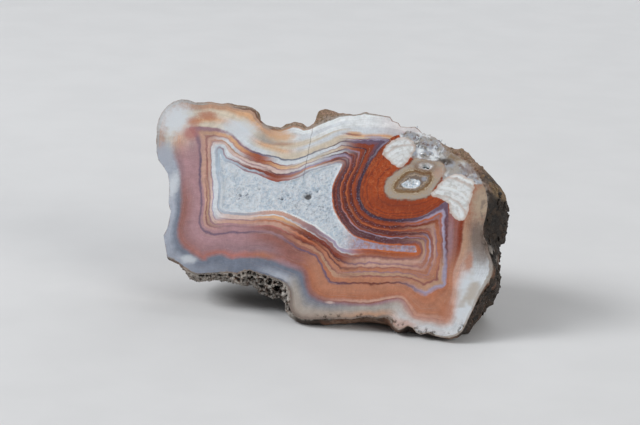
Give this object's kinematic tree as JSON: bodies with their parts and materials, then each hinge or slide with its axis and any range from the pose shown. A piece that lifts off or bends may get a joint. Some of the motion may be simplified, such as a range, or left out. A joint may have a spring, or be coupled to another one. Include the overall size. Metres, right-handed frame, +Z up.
{
  "type": "sumatra agate",
  "caption": "Polished piece of banded agate: a flat cut face with curved colour bands around a quartz centre, and a rough natural rind behind.",
  "frame": {"origin": "on the table, under the middle of the stone's bounding box", "axes": "+X to the right along the long side of the polished face, +Y from the face into the stone, +Z up"},
  "size_m": [0.066, 0.0348, 0.0327],
  "materials": {
    "banded_agate": "polished face with a rough natural rind"
  },
  "bodies": {
    "root": {"agate": "banded_agate"}
  },
  "joints": []
}
